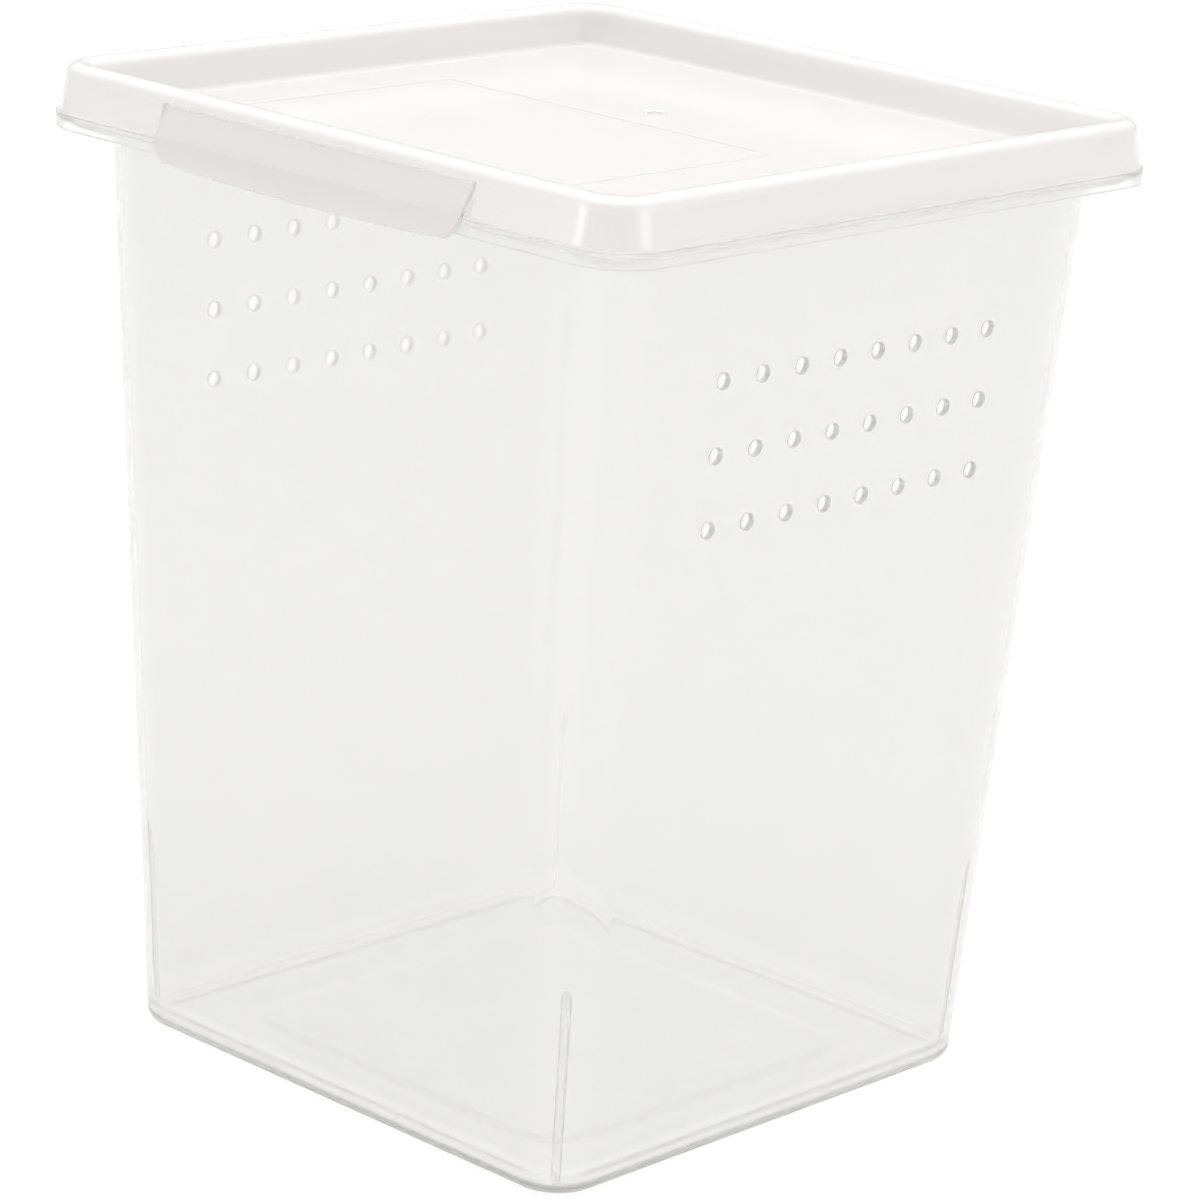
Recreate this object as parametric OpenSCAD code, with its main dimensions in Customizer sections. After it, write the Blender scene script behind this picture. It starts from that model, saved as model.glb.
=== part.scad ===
// Plastic pet keeper: a clear drafted tub with side vents and a lift-off lid with a flexing pull tab.
// The base stands on z = 0, the tub is centred on the Z axis and the pull tab faces -Y.

/* [Tub] */
// Width of the tub at the base
base_w = 152.4; // [140:0.2:200]
// Depth of the tub at the base
base_d = 151.6; // [140:0.2:200]
// Height of the underside of the shoulder above the table
shoulder_z = 229.6; // [150:0.2:300]
// Outward lean of the tub walls, in degrees
wall_draft = 2.87; // [1.5:0.01:4]
// Thickness of the tub walls
wall_t = 1.6; // [1.2:0.1:2.4]
// Thickness of the tub floor
floor_t = 1.8; // [1.4:0.1:3]
// Outer radius of the upright corners at the base
corner_r = 12.5; // [9:0.5:18]
// Radius of the outside edge round the base
base_edge_r = 3.5; // [2:0.25:5]
// Radius inside, where the walls meet the floor
floor_edge_r = 5; // [3:0.25:8]

/* [Floor panel] */
// Width and depth of the raised panel in the floor
pad_w = 110; // [60:1:118]
// Corner radius of the raised panel
pad_r = 12; // [6:1:20]
// Height of the raised panel above the floor
pad_h = 0.9; // [0.4:0.1:1.2]

/* [Tub rim] */
// Run of the shoulder from the wall out to the upright rim
shoulder_run = 3.25; // [2.5:0.05:5]
// Thickness of the shoulder, the flange and the upright rim
rim_t = 1.6; // [1.2:0.1:2]
// Height of the upright rim above the underside of the shoulder
upright_h = 13.4; // [11.5:0.1:18]
// Height of the flange top above the underside of the shoulder
flange_h = 3.8; // [3.4:0.1:5]
// Run of the flange from the upright rim to its outer edge
flange_run = 4.9; // [4.6:0.1:6]
// Height of the turned-down lip, from the top of the flange
lip_h = 4.1; // [3:0.1:6]
// Reach of the snap bead on the upright rim
bead_r = 0.5; // [0.3:0.05:0.6]

/* [Vents] */
// Diameter of a vent hole
vent_d = 3.8; // [2:0.1:6]
// Number of vent rows on each vented wall
vent_rows = 3; // [1:1:5]
// Number of vent holes in a row
vent_cols = 8; // [2:1:10]
// Distance between the holes of a row
vent_pitch = 13.4; // [9:0.1:14.5]
// Distance between the rows
vent_row_pitch = 17.7; // [10:0.1:22]
// Distance from the top row down from the underside of the shoulder
vent_drop = 32.5; // [15:0.5:60]

/* [Corner ribs] */
// Thickness of a stacking rib
rib_w = 1.9; // [1.2:0.1:3]
// Distance that a rib stands in from the corner
rib_reach = 1.7; // [1:0.1:3]
// Height of the top of the ribs above the table
rib_top = 53; // [20:1:90]

/* [Lid] */
// Outer radius of the lid's corners
lid_r = 12; // [11:0.5:18]
// Thickness of the lid
lid_t = 1.6; // [1.2:0.1:2]
// Width of the flat along the top of the lid's rim
rim_flat = 0.4; // [0.2:0.1:1.2]
// Gap between the shoulder and the underside of the recessed panel
panel_gap = 1.3; // [0.4:0.1:4]
// Radius where the recess wall meets the panel
recess_r = 1.5; // [0.8:0.1:3]
// Margin of the flange outside the bottom of the skirt
skirt_margin = 0.5; // [0.2:0.1:1.2]
// Gap between the upright rim and the lid's recess wall
seat_gap = 0.5; // [0.35:0.05:0.8]
// Gap above the upright rim, under the lid's rim
top_gap = 0.3; // [0.2:0.05:0.6]
// Gap between the snap bead and the skirt
bead_gap = 0.6; // [0.4:0.05:1]

/* [Lid marks] */
// Width of the sunk field, across the front
field_w = 110; // [40:1:120]
// Depth of the sunk field, front to back
field_d = 73; // [30:1:80]
// Shift of the sunk field's centre to the right
field_x = -15.2; // [-18:0.1:10]
// Shift of the sunk field's centre to the back
field_y = -19.2; // [-30:0.1:10]
// Depth of the sunk field
field_h = 0.4; // [0.2:0.05:0.6]
// Diameter of the gate dimple
gate_d = 6; // [3:0.5:9]
// Depth of the gate dimple
gate_h = 0.6; // [0.3:0.1:0.8]
// Shift of the gate dimple to the right
gate_x = -12.2; // [-40:0.1:40]
// Shift of the gate dimple to the back
gate_y = 31.8; // [22:0.1:60]

/* [Pull tab] */
// Width of the pull tab
tab_w = 102; // [50:1:120]
// Thickness of the pull tab
tab_t = 1.6; // [1.2:0.1:2]
// Distance that the tab hangs below the bottom of the tub's lip
tab_drop = 2; // [1:0.1:6]
// Distance of the tab's hinge line below the rounding of the rim
hinge_drop = 1.3; // [1:0.1:2.5]
// Height of the tab's bend above the top of the flange
knee_h = 0.6; // [0.3:0.1:2]
// Extra lean of the tab below the flange
tab_lean = 0.75; // [0:0.05:2]
// Radius of the tab's lower corners
tab_corner_r = 6; // [3:0.5:8]
// Sag of the tab's lower edge from its ends to its middle
tab_sag = 0.9; // [0.4:0.1:1.5]
// Width of the slit at each end of the tab
slit_w = 1.2; // [0.8:0.1:2]
// Gap between the tab's hinge edge and the skirt
hinge_gap = 0.3; // [0.25:0.05:0.5]
// Gap between the tab and the tub's lip
tab_gap = 0.35; // [0.3:0.05:1]

/* [Hidden] */
$fn = 96;
lean = tan(wall_draft);
shoulder_top = shoulder_z + rim_t;
upright_top = shoulder_z + upright_h;
flange_top = shoulder_z + flange_h;
lip_low = flange_top - lip_h;
lid_top = upright_top + top_gap + lid_t;
panel_z = shoulder_top + panel_gap + lid_t;
// half sizes, as [x, y] pairs
base_half = [base_w / 2, base_d / 2];
shoulder_half = base_half + lean * shoulder_z * [1, 1];
upright_in = shoulder_half + shoulder_run * [1, 1];
upright_out = upright_in + rim_t * [1, 1];
flange_out = upright_out + flange_run * [1, 1];
recess_half = upright_in - (seat_gap + lid_t) * [1, 1];
skirt_top = upright_out + (bead_r + bead_gap + lid_t) * [1, 1];
skirt_low = flange_out - skirt_margin * [1, 1];
rim_round = (skirt_top[0] - recess_half[0] - rim_flat) / 2;
// centres of the rim's corners, shared by the tub's rim and the lid
rim_c = skirt_top - lid_r * [1, 1];
// pull tab, with v measured outward from the middle of the keeper
tab_z = lid_top - rim_round - hinge_drop;
tab_v = skirt_top[1] - tab_t / 2;
tab_low = lip_low - tab_drop;
tab_knee = flange_top + knee_h;
tab_in = flange_out[1] + tab_gap;

function arc(c, r, a0, a1, n = 6) =
    [for (i = [0:n]) c + r * [cos(a0 + (a1 - a0) * i / n), sin(a0 + (a1 - a0) * i / n)]];

// half size of the tub's outside at a height, less an inset
function tub_half(z, inset) = base_half + (lean * z - inset) * [1, 1];

// rounded rectangle from its half sizes
module plate(half, r, h) {
    linear_extrude(h) union() {
        square([2 * half[0], 2 * (half[1] - r)], center = true);
        square([2 * (half[0] - r), 2 * half[1]], center = true);
        for (x = [-1, 1], y = [-1, 1])
            translate([x * (half[0] - r), y * (half[1] - r)]) circle(r);
    }
}

// a section carried round the rim, measured outward from the corner centres
module around(c) {
    for (k = [0:3]) {
        a = k % 2 == 0 ? c[0] : c[1];
        b = k % 2 == 0 ? c[1] : c[0];
        rotate(90 * k) translate([a, b, 0]) {
            rotate([90, 0, 0]) linear_extrude(2 * b) children();
            rotate_extrude(angle = 90) children();
        }
    }
}

// one thin level of the tub's tapered form
module level(z, inset) {
    half = tub_half(z, inset);
    r = max(corner_r * tub_half(z, 0)[0] / base_half[0] - inset, 2);
    translate([0, 0, z]) plate(half, r, 0.01, $fn = 48);
}

module tub_form() {
    hull() {
        for (a = [0:15:90])
            level(base_edge_r * (1 - sin(a)), base_edge_r * (1 - cos(a)));
        level(shoulder_top - 0.01, 0);
    }
}

module tub_hollow() {
    hull() {
        for (a = [0:15:90])
            level(floor_t + floor_edge_r * (1 - sin(a)), wall_t + floor_edge_r * (1 - cos(a)));
        level(upright_top + 1, wall_t);
    }
}

module tub_rim_section() {
    ui = upright_in[0] - rim_c[0];
    uo = upright_out[0] - rim_c[0];
    ul = flange_out[0] - rim_c[0];
    er = 0.6;
    polygon(concat(
        [[ui, shoulder_z]],
        arc([ui + er, upright_top - er], er, 180, 90, 3),
        arc([uo - er, upright_top - er], er, 90, 0, 3),
        arc([uo, upright_top - 3], bead_r, 90, -90, 6),
        [[uo, flange_top]],
        arc([ul - er, flange_top - er], er, 90, 0, 3),
        [[ul, lip_low], [ul - rim_t, lip_low], [ul - rim_t, flange_top - rim_t]],
        [[uo, flange_top - rim_t], [uo, shoulder_z]]
    ));
}

module vents() {
    for (row = [0:vent_rows - 1], col = [0:vent_cols - 1]) {
        z = shoulder_z - vent_drop - row * vent_row_pitch;
        translate([-shoulder_half[0] - 5, (col - (vent_cols - 1) / 2) * vent_pitch, z])
            rotate([0, 90, 0]) cylinder(d = vent_d, h = 2 * shoulder_half[0] + 10);
    }
}

// stacking ribs, one along each corner
module corner_ribs() {
    r = corner_r - wall_t;
    slope = sqrt(2) * lean * (1 - corner_r / base_half[0]) + lean * corner_r / base_half[0];
    low = floor_t + floor_edge_r * 0.4;
    for (x = [-1, 1], y = [-1, 1])
        translate([x * (base_half[0] - corner_r), y * (base_half[1] - corner_r), 0])
            rotate(atan2(y, x))
                rotate([90, 0, 0])
                    translate([0, 0, -rib_w / 2])
                        linear_extrude(rib_w) polygon([
                            [r - rib_reach - floor_edge_r * 0.3, low],
                            [r + wall_t / 2 - floor_edge_r * 0.3, low],
                            [r + wall_t / 2 + (slope * rib_top), rib_top],
                            [r + slope * rib_top - rib_reach * 0.4, rib_top],
                            [r + slope * rib_top - rib_reach, rib_top - rib_reach]
                        ]);
}

module tub() {
    color([0.88, 0.9, 0.92, 0.5]) union() {
        difference() {
            union() {
                tub_form();
                translate([0, 0, shoulder_z])
                    plate(upright_out - 0.2 * [1, 1], upright_out[0] - 0.2 - rim_c[0], rim_t);
            }
            tub_hollow();
            vents();
        }
        around(rim_c) tub_rim_section();
        translate([0, 0, floor_t - 0.1])
            plate([pad_w / 2, pad_w / 2], pad_r, pad_h + 0.1);
        corner_ribs();
    }
}

module lid_section() {
    ui = recess_half[0] - rim_c[0];
    ut = skirt_top[0] - rim_c[0];
    ul = skirt_low[0] - rim_c[0];
    rc = lid_top - rim_round;
    inner = rim_round - lid_t;
    edge = ui - recess_r - 1;
    polygon(concat(
        [[ul, flange_top]],
        arc([ut - rim_round, rc], rim_round, 0, 90),
        arc([ui + rim_round, rc], rim_round, 90, 180),
        arc([ui - recess_r, panel_z + recess_r], recess_r, 0, -90, 4),
        [[edge, panel_z], [edge, panel_z - lid_t]],
        arc([ui - recess_r, panel_z + recess_r], recess_r + lid_t, -90, 0, 4),
        arc([ui + rim_round, rc], inner, 180, 90, 4),
        arc([ut - rim_round, rc], inner, 90, 0, 4),
        [[ul - lid_t, flange_top]]
    ));
}

module lid() {
    panel_half = recess_half - (recess_r + 0.5) * [1, 1];
    color([0.95, 0.95, 0.97, 0.8]) difference() {
        union() {
            around(rim_c) lid_section();
            translate([0, 0, panel_z - lid_t])
                plate(panel_half, panel_half[0] - rim_c[0] + 0.5, lid_t);
        }
        translate([field_x, field_y, panel_z - field_h])
            plate([field_w / 2, field_d / 2], 0.8, field_h + 1);
        translate([gate_x, gate_y, panel_z - gate_h])
            cylinder(d = gate_d, h = gate_h + 1);
        // window for the pull tab and its slits
        translate([-tab_w / 2 - slit_w, -flange_out[1] - 5, flange_top - 1])
            cube([tab_w + 2 * slit_w, flange_out[1] + 5 - upright_out[1] - bead_r - 0.2,
                tab_z + tab_t / 2 + hinge_gap - flange_top + 1]);
    }
}

module lid_tab() {
    r = tab_t / 2;
    sag_r = tab_w * tab_w / 8 / tab_sag + tab_sag / 2;
    color([0.9, 0.9, 0.9, 0.9]) intersection() {
        translate([tab_w / 2, 0, 0]) rotate([90, 0, -90]) linear_extrude(tab_w) polygon(concat(
            arc([tab_v, tab_z], r, 0, 180, 8),
            [[tab_in, tab_knee], [tab_in + tab_lean, tab_low]],
            [[tab_in + tab_t + tab_lean, tab_low], [tab_in + tab_t, tab_knee]]
        ));
        translate([0, -tab_v + 20, 0]) rotate([90, 0, 0]) linear_extrude(40) intersection() {
            translate([0, tab_low + sag_r]) circle(sag_r, $fn = 360);
            union() {
                translate([-tab_w / 2, tab_low + tab_sag + tab_corner_r])
                    square([tab_w, 20]);
                translate([-tab_w / 2 + tab_corner_r, tab_low])
                    square([tab_w - 2 * tab_corner_r, 30]);
                for (x = [-1, 1])
                    translate([x * (tab_w / 2 - tab_corner_r), tab_low + tab_sag + tab_corner_r])
                        circle(tab_corner_r);
            }
        }
    }
}

tub();
lid();
lid_tab();
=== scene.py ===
# Plastic pet keeper: tub, lid and pull tab swept from their moulded sections, in clear and milky
# polypropylene on a white studio floor. Lengths in the dictionaries are millimetres, unless noted.
import math

import bpy
import numpy as np
from mathutils import Matrix


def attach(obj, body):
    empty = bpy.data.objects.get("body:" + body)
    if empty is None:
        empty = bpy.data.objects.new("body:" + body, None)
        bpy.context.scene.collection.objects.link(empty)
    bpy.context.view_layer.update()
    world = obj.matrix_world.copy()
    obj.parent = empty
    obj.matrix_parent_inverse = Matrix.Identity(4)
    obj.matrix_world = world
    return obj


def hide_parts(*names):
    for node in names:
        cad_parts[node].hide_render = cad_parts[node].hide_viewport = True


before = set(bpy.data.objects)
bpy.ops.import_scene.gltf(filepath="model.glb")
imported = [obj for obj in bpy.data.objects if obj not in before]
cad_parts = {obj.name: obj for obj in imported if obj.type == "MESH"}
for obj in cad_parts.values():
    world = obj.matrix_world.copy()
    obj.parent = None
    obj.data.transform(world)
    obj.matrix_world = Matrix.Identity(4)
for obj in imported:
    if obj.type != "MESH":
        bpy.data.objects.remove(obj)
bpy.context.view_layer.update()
print("stage: frame loaded with", ", ".join(sorted(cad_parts)))

shared = {
    "baseHalf": (76.2, 75.8),  # half width and half depth of the tub at the table
    "lean": 0.050134,  # outward run of the walls for each unit of height
    "wall": 1.6,
    "cornerRadius": 12.5,  # at the table; it grows with the tub
    "rimCentre": (83.261, 82.861),  # centres of the rim's corners
    "straight": 62.0,  # every side holds its columns still along this half length
}


def smoothStep(t):
    # Three t squared less two t cubed, with t held between 0 and 1.
    t = np.clip(t, 0, 1)
    return t * t * (3 - 2 * t)


def roundedLine(points, radii, steps=4, guard=0.5):
    # An open line whose inner corners become arcs. The arc's centre lies on the corner's bisector at the
    # radius over the sine of half the angle, and its points are a spherical blend of the two spokes.
    # A guard point stands just before and after each arc. The third value is 1 on an arc and 0 off it.
    p = np.array(points, float)
    radius = np.array(radii, float)[:, None]
    before, corner, after = p[:-2], p[1:-1], p[2:]
    lengthA = np.linalg.norm(before - corner, axis=1, keepdims=True)
    lengthB = np.linalg.norm(after - corner, axis=1, keepdims=True)
    a, b = (before - corner) / lengthA, (after - corner) / lengthB
    half = np.arccos(np.clip((a * b).sum(1, keepdims=True), -1, 1)) / 2
    cut = radius / np.tan(half)
    centre = corner + (a + b) / np.linalg.norm(a + b, axis=1, keepdims=True) * radius / np.sin(half)
    spokeA, spokeB = corner + a * cut - centre, corner + b * cut - centre
    sweep = np.pi - 2 * half
    t = np.linspace(0, 1, steps + 1)[None, :, None]
    turn = sweep[:, None, :]
    blend = (np.sin((1 - t) * turn) * spokeA[:, None] + np.sin(t * turn) * spokeB[:, None]) / np.sin(turn)
    arcs = centre[:, None] + blend
    gapA = corner + a * np.minimum(cut + guard, lengthA * 0.5 + cut * 0.5)
    gapB = corner + b * np.minimum(cut + guard, lengthB * 0.5 + cut * 0.5)
    runs = np.concatenate([gapA[:, None], arcs, gapB[:, None]], axis=1)
    mask = np.ones(runs.shape[:2])
    mask[:, [0, -1]] = 0
    line = np.vstack([p[:1], runs.reshape(-1, 2), p[-1:]])
    line = np.column_stack([line, np.concatenate([[0], mask.ravel(), [0]])])
    apart = np.linalg.norm(np.diff(line[:, :2], axis=0), axis=1) > 1e-4
    return line[np.concatenate([[True], apart])]


def wallRows(z, inset, mask=0.0):
    # Rounded rectangles of the drafted tub: the half size grows by the lean times the height, less an
    # inset, and the corner radius grows in proportion to the half size, less the same inset.
    z, inset, mask = np.broadcast_arrays(np.asarray(z, float), inset, mask)
    hx = shared["baseHalf"][0] + shared["lean"] * z
    hy = shared["baseHalf"][1] + shared["lean"] * z
    r = shared["cornerRadius"] * hx / shared["baseHalf"][0] - inset
    nought = np.zeros_like(hx)
    return np.column_stack([hx - inset, hy - inset, np.maximum(r, 2), z, nought, nought, mask])


def rimRows(line):
    # Rounded rectangles about the fixed corner centres of the rim: half size is centre plus u, radius is u.
    u, z, mask = line.T
    cx, cy = shared["rimCentre"]
    nought = np.zeros_like(u)
    return np.column_stack([cx + u, cy + u, u, z, nought, nought, mask])


def plateRows(halves, radii, heights, centre=(0.0, 0.0), mask=0.0):
    # Rounded rectangles given by their half size, corner radius and height.
    half, r, z, m = np.broadcast_arrays(np.asarray(halves, float), radii, heights, mask)
    centreX, centreY = (np.full(half.shape, c) for c in centre)
    return np.column_stack([half, half, r, z, centreX, centreY, m])


def sideColumns(right, back, left, front, cornerAngles):
    # One entry for each column round the ring, anticlockwise from the right side: the fixed place along
    # a side (or not a number in a corner), which straight it belongs to, and the angle of its normal.
    place, kind, angle = [], [], []
    sides = [
        (np.sort(right), 0, 0),
        (np.sort(back)[::-1], 1, 90),
        (np.sort(left)[::-1], 2, 180),
        (np.sort(front), 3, 270),
    ]
    for values, side, start in sides:
        place += [np.asarray(values, float), np.full(len(cornerAngles), np.nan)]
        kind += [np.full(len(values), side), np.full(len(cornerAngles), 4 + side)]
        angle += [np.full(len(values), start), start + np.asarray(cornerAngles, float)]
    return np.concatenate(place), np.concatenate(kind), np.radians(np.concatenate(angle))


def ringPoints(rows, columns):
    # A point is the ring's centre, plus its place along the straight of its side, plus the corner radius
    # times the cosine and sine of the column's angle.
    place, kind, angle = columns
    hx, hy, r, z, cx, cy = (rows[:, i, None] for i in range(6))
    signX = np.select([np.isin(kind, [0, 4, 7]), np.isin(kind, [2, 5, 6])], [1.0, -1.0], 0.0)
    signY = np.select([np.isin(kind, [1, 4, 5]), np.isin(kind, [3, 6, 7])], [1.0, -1.0], 0.0)
    fixed = np.nan_to_num(place)
    alongX = np.isin(kind, [1, 3]) * fixed / np.maximum(hx - r, shared["straight"])
    alongY = np.isin(kind, [0, 2]) * fixed / np.maximum(hy - r, shared["straight"])
    x = cx + (signX + alongX) * (hx - r) + r * np.cos(angle)
    y = cy + (signY + alongY) * (hy - r) + r * np.sin(angle)
    return np.stack([x, y, z + np.zeros_like(x)], axis=-1)


def ringFaces(rowCount, columnCount, keep=None):
    # Quads between neighbouring rings, wound so that they face away from the plastic.
    i, j = np.meshgrid(np.arange(rowCount - 1), np.arange(columnCount), indexing="ij")
    k = (j + 1) % columnCount
    low, high = i * columnCount, (i + 1) * columnCount
    quads = np.stack([low + j, low + k, high + k, high + j], axis=-1)
    return quads[keep] if keep is not None else quads.reshape(-1, 4)


def poleFaces(rowCount, columnCount, firstPole, lastPole):
    # Fans that close the first and the last ring on their middle points.
    j = np.arange(columnCount)
    k = (j + 1) % columnCount
    top = (rowCount - 1) * columnCount
    first = np.stack([np.full(columnCount, firstPole), k, j], axis=-1)
    last = np.stack([top + j, top + k, np.full(columnCount, lastPole)], axis=-1)
    return np.vstack([first, last])


def makePiece(name, points, mask, inner, faceSets, body, node, sharpAngle=38):
    # Unused points are dropped, the rest goes into one mesh in metres, and long faces keep their own
    # normals so that only the arcs shade as curves.
    used = np.unique(np.concatenate([f.ravel() for f in faceSets]))
    renumber = np.zeros(len(points), int)
    renumber[used] = np.arange(len(used))
    faces = [face for f in faceSets for face in renumber[f].tolist()]
    mesh = bpy.data.meshes.new(name)
    mesh.from_pydata((points[used] * 0.001).tolist(), [], faces)
    for label, values in (("edgeMask", mask), ("innerMask", inner)):
        painted = mesh.attributes.new(label, "FLOAT", "POINT").data
        painted.foreach_set("value", values[used].astype(np.float32))
    mesh.polygons.foreach_set("use_smooth", [True] * len(mesh.polygons))
    mesh.set_sharp_from_angle(angle=math.radians(sharpAngle))
    mesh.validate()
    piece = bpy.data.objects.new(name, mesh)
    bpy.context.scene.collection.objects.link(piece)
    weighted = piece.modifiers.new("evenNormals", "WEIGHTED_NORMAL")
    weighted.keep_sharp = True
    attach(piece, body)
    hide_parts(node)
    print("stage:", name, len(mesh.polygons), "faces")
    return piece


tubLook = {
    "footRadius": 3.5,  # outside edge round the base
    "floor": 1.8,
    "floorRadius": 5.0,  # inside, where the walls meet the floor
    "padHalf": 55.0,  # raised panel in the floor
    "padRadius": 12.0,
    "padStep": 0.45,
    "wallHeights": (  # rings of the plain wall, closest together at the top of the ribs
        4.3, 8, 20, 34, 44, 46.3, 47.6, 49, 50.4, 51.5, 52.4, 53, 53.3, 54, 57, 75, 100, 125, 145, 212, 224),
    "shoulder": 229.6,
    "shoulderRadius": 0.8,
    "rimFaces": (7.7, 9.3),  # inside and outside of the upright rim, out from its corner centres
    "rimTop": 243.0,
    "lipFaces": (12.6, 14.2),  # the same for the lip that turns down from the flange
    "flangeUnder": 2.2,  # these three are heights from the shoulder
    "flangeTop": 3.8,
    "lipDrop": 0.3,
    "beadHeight": 240.0,
    "beadReach": 0.5,
    "paleShoulder": (0.5, 0.8),  # how much of the pale edge shows outside and inside
    "paleRim": 0.5,
    "paleFillet": 0.65,
    "innerClear": 0.45,  # how much of the clearer inner skin the flat walls show
    "cornerHighlightBlend": 14.0,  # degrees over which that skin clears towards a corner, a painted highlight
    "ribTop": 53.0,
    "ribTaper": 7.0,  # height over which a corner rib runs out
    "ribReach": 1.7,
    "ribHalfAngle": 4.8,  # half the width of a corner rib, in degrees round the corner
    "ribFlank": 1.8,  # degrees in which the side of a rib rises
    "ventRadius": 1.9,
    "ventEdge": 0.3,
    "ventPitch": 13.4,
    "ventColumns": 8,
    "ventHeights": (161.7, 179.4, 197.1),
    "ventSteps": 8,  # faces along each side of the square cell round a vent
    "ventRings": (4.4, 2.9),  # circles between the cell's border and the hole
    "lastColumn": 58.5,  # the outermost columns on a straight side
}


def tubRows(look):
    # The rings run from the middle of the underside outwards, up the outside, over the rim, down the
    # inside and over the floor to its middle. Arcs are the radius times one less the sine or cosine.
    rest, cell = shared["wall"], look["ventPitch"]
    foot, fillet = look["footRadius"], look["floorRadius"]
    pad, padR = look["padHalf"], look["padRadius"]
    quarter = np.radians(np.linspace(90, 0, 8))
    bands = [np.linspace(z - cell / 2, z + cell / 2, look["ventSteps"] + 1) for z in look["ventHeights"]]
    heights = np.sort(np.concatenate([look["wallHeights"], *bands]))
    under = [
        plateRows([6, 20, 38, 55, 66], [3, 8, 11, 12, 10], 0),
        wallRows(foot * (1 - np.sin(quarter)), foot * (1 - np.cos(quarter)), np.sin(2 * quarter)),
    ]
    turn = np.radians([0, 30, 60, 90])
    z0, r = look["shoulder"], look["shoulderRadius"]
    paleOut, paleIn = look["paleShoulder"]
    outside = [
        wallRows(heights, 0),
        wallRows([z0 - 1.4], 0),
        wallRows(z0 - r + r * np.sin(turn), -r + r * np.cos(turn), paleOut),
    ]
    rimIn, rimOut = look["rimFaces"]
    lipIn, lipOut = look["lipFaces"]
    below, above, lipLow = z0 + look["flangeUnder"], z0 + look["flangeTop"], z0 - look["lipDrop"]
    top, bead, beadOut = look["rimTop"], look["beadHeight"], rimOut + look["beadReach"]
    rim = roundedLine(
        [(7.6, z0), (rimOut, z0), (rimOut, below), (lipIn, below), (lipIn, lipLow), (lipOut, lipLow),
         (lipOut, above), (rimOut, above), (rimOut, bead - 0.55), (beadOut, bead - 0.25),
         (beadOut, bead + 0.25), (rimOut, bead + 0.55), (rimOut, top), (rimIn, top), (rimIn, z0 + rest),
         (6.0, z0 + rest)],
        [0.4, 0.5, 0.5, 0.45, 0.45, 0.6, 0.4, 0.15, 0.15, 0.15, 0.15, 0.6, 0.6, 0.8])
    rim[:, 2] *= look["paleRim"]
    inside = [
        wallRows(z0 + r + r * np.sin(turn[::-1]), rest - r + r * np.cos(turn[::-1]), paleIn),
        wallRows([z0 - 0.2], rest),
        wallRows(heights[::-1][:-1], rest),
        wallRows(
            look["floor"] + fillet * (1 - np.sin(quarter[::-1])),
            rest + fillet * (1 - np.cos(quarter[::-1])),
            look["paleFillet"] * np.sin(2 * quarter)),
    ]
    low, high = look["floor"], look["floor"] + look["padStep"]
    slope = np.array([2.0, 1.1, 0.2, -0.7, -1.6, -2.5, -3.4])
    rise = smoothStep((slope[0] - slope) / (slope[0] - slope[-1]))
    floor = [
        plateRows([64, pad + 3.5], [8, padR + 2.5], low),
        plateRows(pad + slope, padR + slope, low + (high - low) * rise, mask=[0, 0.2, 0.4, 0.5, 0.4, 0.2, 0]),
        plateRows([pad - 6, 38, 20, 6], [padR - 4, 11, 8, 3], high),
    ]
    return np.vstack(under + outside + [rimRows(rim)] + inside + floor)


def addRibs(points, rows, columns, look):
    # Inside each corner the surface steps towards the middle by the rib's reach, times a steep step in
    # the angle from the corner's bisector, times a slope at the rib's top, less what the floor's fillet takes.
    _, kind, angle = columns
    flank, belowTop = look["ribFlank"], look["ribTop"] + 0.3 - rows[:, 3]
    away = np.abs((np.degrees(angle) % 90) - 45)
    across = smoothStep((look["ribHalfAngle"] + flank / 2 - away) / flank) * (kind >= 4)
    inset = shared["baseHalf"][0] + shared["lean"] * rows[:, 3] - rows[:, 0]
    inner = (np.arange(len(rows)) > len(rows) // 2) & (belowTop > 0) & (rows[:, 0] > 66)
    up = np.clip(belowTop / look["ribTaper"], 0, 1) ** 0.8
    reach = inner * np.clip(look["ribReach"] * up - (inset - shared["wall"]) * (rows[:, 3] < 7), 0, None)
    push = reach[:, None] * across[None, :]
    points[..., 0] -= push * np.cos(angle)
    points[..., 1] -= push * np.sin(angle)
    return push


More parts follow.
